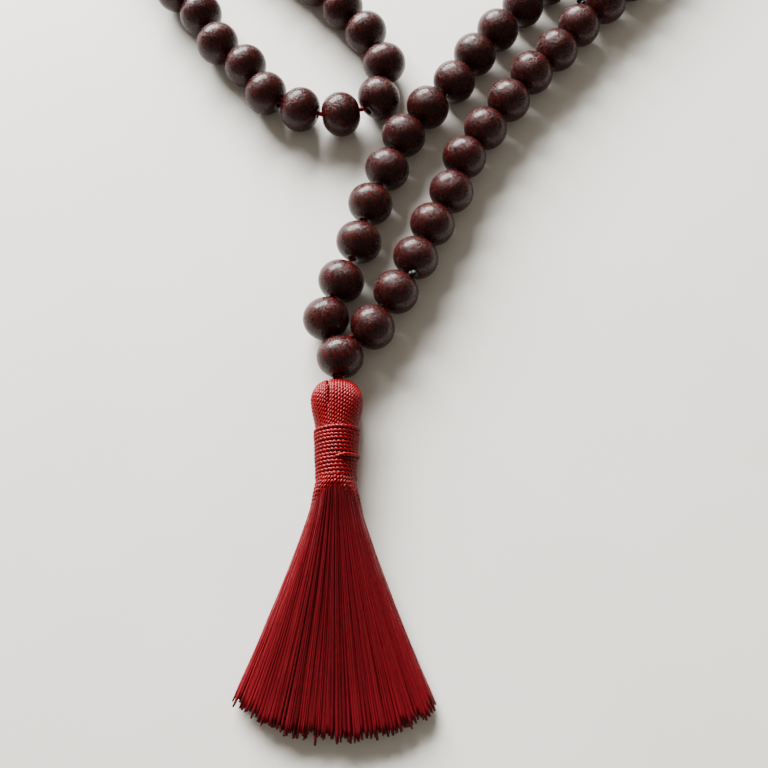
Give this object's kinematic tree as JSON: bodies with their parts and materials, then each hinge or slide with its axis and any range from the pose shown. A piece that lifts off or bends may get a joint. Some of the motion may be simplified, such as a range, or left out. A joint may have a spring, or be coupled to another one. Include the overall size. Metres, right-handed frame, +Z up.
{
  "type": "mala prayer beads",
  "caption": "Closed loop of turned wooden beads on one cord with a guru bead and a silk tassel, laid in folded loops, for counting prayers.",
  "frame": {"origin": "centre of the box that holds the mala, on the table it lies on", "axes": "+Z up, +Y from the tassel towards the far side of the folded loop, +X to the right of someone facing +Y"},
  "size_m": [0.1354, 0.2478, 0.0082],
  "materials": {
    "rosewood": "polished dark rosewood with fine wine-red grain",
    "stringing_cord": "thin twisted red cord",
    "silk": "lustrous twisted red silk yarn",
    "melted_cord": "black melted cord end"
  },
  "bodies": {
    "laid_loop": {"beads_inner_run": "rosewood", "beads_outer_run": "rosewood", "cord_inner_run": "stringing_cord", "cord_outer_run": "stringing_cord", "cord_lump_far": "melted_cord"},
    "upper_strands": {"cord_upper": "stringing_cord"},
    "middle_strands": {"cord_middle": "stringing_cord", "cord_lump_near": "melted_cord"},
    "guru_end": {"cord_lower": "stringing_cord", "guru_bead": "rosewood"},
    "knot": {"guru_knot": "stringing_cord"},
    "tassel_loop": {"hanging_loop": "stringing_cord"},
    "tassel_head": {"head_cords_left": "silk", "head_cords_right": "silk", "tassel_core": "silk", "binding_wraps": "silk", "binding_tail": "silk"},
    "skirt": {"tassel_skirt": "silk"},
    "outer_arm": {"cord_outer_arm": "stringing_cord"},
    "bend_end": {"cord_bend_end": "stringing_cord"},
    "inner_arm": {"cord_inner_arm": "stringing_cord"},
    "bead_left_01": {"bead_left_01": "rosewood"},
    "bead_left_02": {"bead_left_02": "rosewood"},
    "bead_left_03": {"bead_left_03": "rosewood"},
    "bead_left_04": {"bead_left_04": "rosewood"},
    "bead_left_05": {"bead_left_05": "rosewood"},
    "bead_left_06": {"bead_left_06": "rosewood"},
    "bead_left_07": {"bead_left_07": "rosewood"},
    "bead_left_08": {"bead_left_08": "rosewood"},
    "bead_left_09": {"bead_left_09": "rosewood"},
    "bead_left_10": {"bead_left_10": "rosewood"},
    "bead_left_11": {"bead_left_11": "rosewood"},
    "bead_right_01": {"bead_right_01": "rosewood"},
    "bead_right_02": {"bead_right_02": "rosewood"},
    "bead_right_03": {"bead_right_03": "rosewood"},
    "bead_right_04": {"bead_right_04": "rosewood"},
    "bead_right_05": {"bead_right_05": "rosewood"},
    "bead_right_06": {"bead_right_06": "rosewood"},
    "bead_right_07": {"bead_right_07": "rosewood"},
    "bead_right_08": {"bead_right_08": "rosewood"},
    "bead_right_09": {"bead_right_09": "rosewood"},
    "bead_right_10": {"bead_right_10": "rosewood"},
    "bead_right_11": {"bead_right_11": "rosewood"},
    "bead_right_12": {"bead_right_12": "rosewood"},
    "bead_bend_01": {"bead_bend_01": "rosewood"},
    "bead_bend_02": {"bead_bend_02": "rosewood"},
    "bead_bend_03": {"bead_bend_03": "rosewood"},
    "bead_bend_04": {"bead_bend_04": "rosewood"},
    "bead_bend_05": {"bead_bend_05": "rosewood"},
    "bead_bend_06": {"bead_bend_06": "rosewood"},
    "bead_bend_07": {"bead_bend_07": "rosewood"},
    "bead_bend_08": {"bead_bend_08": "rosewood"},
    "bead_bend_09": {"bead_bend_09": "rosewood"},
    "bead_bend_10": {"bead_bend_10": "rosewood"},
    "bead_bend_11": {"bead_bend_11": "rosewood"},
    "bead_bend_12": {"bead_bend_12": "rosewood"},
    "bead_bend_13": {"bead_bend_13": "rosewood"}
  },
  "joints": [
    {"name": "guru_end_lift", "type": "hinge", "parent": "laid_loop", "child": "upper_strands", "pos_m": [0.01153, -0.01356, 0.004], "axis": [-0.9246, 0.381, 0], "range_deg": [0, 12]},
    {"name": "guru_end_lift_middle", "type": "hinge", "parent": "upper_strands", "child": "middle_strands", "pos_m": [0.0005, -0.03281, 0.004], "axis": [-0.9353, 0.3539, 0], "range_deg": [0, 12]},
    {"name": "guru_end_lift_lower", "type": "hinge", "parent": "middle_strands", "child": "guru_end", "pos_m": [-0.00681, -0.05017, 0.004], "axis": [-0.5643, 0.8256, 0], "range_deg": [0, 12]},
    {"name": "far_bend_sway", "type": "hinge", "parent": "laid_loop", "child": "outer_arm", "pos_m": [-0.04924, 0.02194, 0.004], "axis": [0, 0, -1], "range_deg": [-2, 8]},
    {"name": "far_bend_sway_end", "type": "hinge", "parent": "outer_arm", "child": "bend_end", "pos_m": [-0.03291, -0.00274, 0.004], "axis": [0, 0, -1], "range_deg": [-8, 2]},
    {"name": "far_bend_sway_inner", "type": "hinge", "parent": "laid_loop", "child": "inner_arm", "pos_m": [-0.01964, 0.01594, 0.004], "axis": [0, 0, -1], "range_deg": [-2, 8]},
    {"name": "tassel_swing", "type": "hinge", "parent": "guru_end", "child": "knot", "pos_m": [-0.012, -0.06694, 0.004], "axis": [0, 0, 1], "range_deg": [-24, 24]},
    {"name": "tassel_lift", "type": "hinge", "parent": "knot", "child": "tassel_loop", "pos_m": [-0.012, -0.06694, 0.004], "axis": [-1, 0, 0], "range_deg": [0, 20]},
    {"name": "tassel_twist", "type": "hinge", "parent": "tassel_loop", "child": "tassel_head", "pos_m": [-0.012, -0.06694, 0.004], "axis": [0, 1, 0], "range_deg": [-15, 15]},
    {"name": "skirt_sway", "type": "hinge", "parent": "tassel_head", "child": "skirt", "pos_m": [-0.012, -0.08449, 0.004], "axis": [0, 0, 1], "range_deg": [-10, 10]},
    {"name": "turn_left_01", "type": "hinge", "parent": "guru_end", "child": "bead_left_01", "pos_m": [-0.0141, -0.05619, 0.004], "axis": [-0.2474, 0.9689, 0], "continuous": true},
    {"name": "turn_left_02", "type": "hinge", "parent": "guru_end", "child": "bead_left_02", "pos_m": [-0.0116, -0.04919, 0.004], "axis": [0.3547, 0.935, 0], "continuous": true},
    {"name": "turn_left_03", "type": "hinge", "parent": "middle_strands", "child": "bead_left_03", "pos_m": [-0.0086, -0.04169, 0.004], "axis": [0.3162, 0.9487, 0], "continuous": true},
    {"name": "turn_left_04", "type": "hinge", "parent": "middle_strands", "child": "bead_left_04", "pos_m": [-0.0066, -0.03419, 0.004], "axis": [0.326, 0.9454, 0], "continuous": true},
    {"name": "turn_left_05", "type": "hinge", "parent": "upper_strands", "child": "bead_left_05", "pos_m": [-0.0036, -0.02719, 0.004], "axis": [0.3939, 0.9191, 0], "continuous": true},
    {"name": "turn_left_06", "type": "hinge", "parent": "upper_strands", "child": "bead_left_06", "pos_m": [-0.0006, -0.02019, 0.004], "axis": [0.4997, 0.8662, 0], "continuous": true},
    {"name": "turn_left_07", "type": "hinge", "parent": "upper_strands", "child": "bead_left_07", "pos_m": [0.0039, -0.01419, 0.004], "axis": [0.6369, 0.771, 0], "continuous": true},
    {"name": "turn_left_08", "type": "hinge", "parent": "laid_loop", "child": "bead_left_08", "pos_m": [0.0089, -0.00869, 0.004], "axis": [0.6163, 0.7875, 0], "continuous": true},
    {"name": "turn_left_09", "type": "hinge", "parent": "laid_loop", "child": "bead_left_09", "pos_m": [0.0129, -0.00269, 0.004], "axis": [0.5944, 0.8042, 0], "continuous": true},
    {"name": "turn_left_10", "type": "hinge", "parent": "laid_loop", "child": "bead_left_10", "pos_m": [0.0174, 0.00281, 0.004], "axis": [0.6536, 0.7568, 0], "continuous": true},
    {"name": "turn_left_11", "type": "hinge", "parent": "laid_loop", "child": "bead_left_11", "pos_m": [0.0224, 0.00831, 0.004], "axis": [0.6884, 0.7253, 0], "continuous": true},
    {"name": "turn_right_01", "type": "hinge", "parent": "guru_end", "child": "bead_right_01", "pos_m": [-0.0061, -0.05769, 0.004], "axis": [-0.8, -0.6, 0], "continuous": true},
    {"name": "turn_right_02", "type": "hinge", "parent": "middle_strands", "child": "bead_right_02", "pos_m": [-0.0021, -0.05119, 0.004], "axis": [-0.4997, -0.8662, 0], "continuous": true},
    {"name": "turn_right_03", "type": "hinge", "parent": "middle_strands", "child": "bead_right_03", "pos_m": [0.0014, -0.04469, 0.004], "axis": [-0.4472, -0.8944, 0], "continuous": true},
    {"name": "turn_right_04", "type": "hinge", "parent": "middle_strands", "child": "bead_right_04", "pos_m": [0.0044, -0.03819, 0.004], "axis": [-0.4472, -0.8944, 0], "continuous": true},
    {"name": "turn_right_05", "type": "hinge", "parent": "upper_strands", "child": "bead_right_05", "pos_m": [0.0079, -0.03169, 0.004], "axis": [-0.4061, -0.9138, 0], "continuous": true},
    {"name": "turn_right_06", "type": "hinge", "parent": "upper_strands", "child": "bead_right_06", "pos_m": [0.0104, -0.02469, 0.004], "axis": [-0.4472, -0.8944, 0], "continuous": true},
    {"name": "turn_right_07", "type": "hinge", "parent": "upper_strands", "child": "bead_right_07", "pos_m": [0.0144, -0.01869, 0.004], "axis": [-0.578, -0.816, 0], "continuous": true},
    {"name": "turn_right_08", "type": "hinge", "parent": "laid_loop", "child": "bead_right_08", "pos_m": [0.0189, -0.01269, 0.004], "axis": [-0.6, -0.8, 0], "continuous": true},
    {"name": "turn_right_09", "type": "hinge", "parent": "laid_loop", "child": "bead_right_09", "pos_m": [0.0234, -0.00669, 0.004], "axis": [-0.6536, -0.7568, 0], "continuous": true},
    {"name": "turn_right_10", "type": "hinge", "parent": "laid_loop", "child": "bead_right_10", "pos_m": [0.0284, -0.00169, 0.004], "axis": [-0.6709, -0.7415, 0], "continuous": true},
    {"name": "turn_right_11", "type": "hinge", "parent": "laid_loop", "child": "bead_right_11", "pos_m": [0.0329, 0.00381, 0.004], "axis": [-0.6757, -0.7372, 0], "continuous": true},
    {"name": "turn_right_12", "type": "hinge", "parent": "laid_loop", "child": "bead_right_12", "pos_m": [0.0383, 0.00911, 0.004], "axis": [-0.7064, -0.7078, 0], "continuous": true},
    {"name": "turn_bend_01", "type": "hinge", "parent": "outer_arm", "child": "bead_bend_01", "pos_m": [-0.0466, 0.01881, 0.004], "axis": [-0.4315, 0.9021, 0], "continuous": true},
    {"name": "turn_bend_02", "type": "hinge", "parent": "outer_arm", "child": "bead_bend_02", "pos_m": [-0.0441, 0.01181, 0.004], "axis": [-0.5145, 0.8575, 0], "continuous": true},
    {"name": "turn_bend_03", "type": "hinge", "parent": "outer_arm", "child": "bead_bend_03", "pos_m": [-0.0391, 0.00631, 0.004], "axis": [-0.578, 0.816, 0], "continuous": true},
    {"name": "turn_bend_04", "type": "hinge", "parent": "outer_arm", "child": "bead_bend_04", "pos_m": [-0.0356, -0.00019, 0.004], "axis": [-0.6163, 0.7875, 0], "continuous": true},
    {"name": "turn_bend_05", "type": "hinge", "parent": "bend_end", "child": "bead_bend_05", "pos_m": [-0.0301, -0.00519, 0.004], "axis": [-0.6536, 0.7568, 0], "continuous": true},
    {"name": "turn_bend_06", "type": "hinge", "parent": "bend_end", "child": "bead_bend_06", "pos_m": [-0.0261, -0.01119, 0.004], "axis": [-0.7415, 0.6709, 0], "continuous": true},
    {"name": "turn_bend_07", "type": "hinge", "parent": "bend_end", "child": "bead_bend_07", "pos_m": [-0.0196, -0.01469, 0.004], "axis": [-0.952, 0.306, 0], "continuous": true},
    {"name": "turn_bend_08", "type": "hinge", "parent": "bend_end", "child": "bead_bend_08", "pos_m": [-0.0121, -0.01569, 0.004], "axis": [-0.9855, -0.1699, 0], "continuous": true},
    {"name": "turn_bend_09", "type": "hinge", "parent": "bend_end", "child": "bead_bend_09", "pos_m": [-0.0051, -0.01219, 0.004], "axis": [-0.5882, -0.8087, 0], "continuous": true},
    {"name": "turn_bend_10", "type": "hinge", "parent": "inner_arm", "child": "bead_bend_10", "pos_m": [-0.0041, -0.00469, 0.004], "axis": [0.1699, -0.9855, 0], "continuous": true},
    {"name": "turn_bend_11", "type": "hinge", "parent": "inner_arm", "child": "bead_bend_11", "pos_m": [-0.0076, 0.00231, 0.004], "axis": [0.5391, -0.8423, 0], "continuous": true},
    {"name": "turn_bend_12", "type": "hinge", "parent": "inner_arm", "child": "bead_bend_12", "pos_m": [-0.0121, 0.00781, 0.004], "axis": [0.6536, -0.7568, 0], "continuous": true},
    {"name": "turn_bend_13", "type": "hinge", "parent": "inner_arm", "child": "bead_bend_13", "pos_m": [-0.0171, 0.01331, 0.004], "axis": [0.6899, -0.7239, 0], "continuous": true}
  ],
  "couplings": [
    {"joint": "guru_end_lift_middle", "follows": "guru_end_lift", "ratio": 1},
    {"joint": "guru_end_lift_lower", "follows": "guru_end_lift", "ratio": 1},
    {"joint": "far_bend_sway_end", "follows": "far_bend_sway", "ratio": -1},
    {"joint": "far_bend_sway_inner", "follows": "far_bend_sway", "ratio": 1}
  ]
}
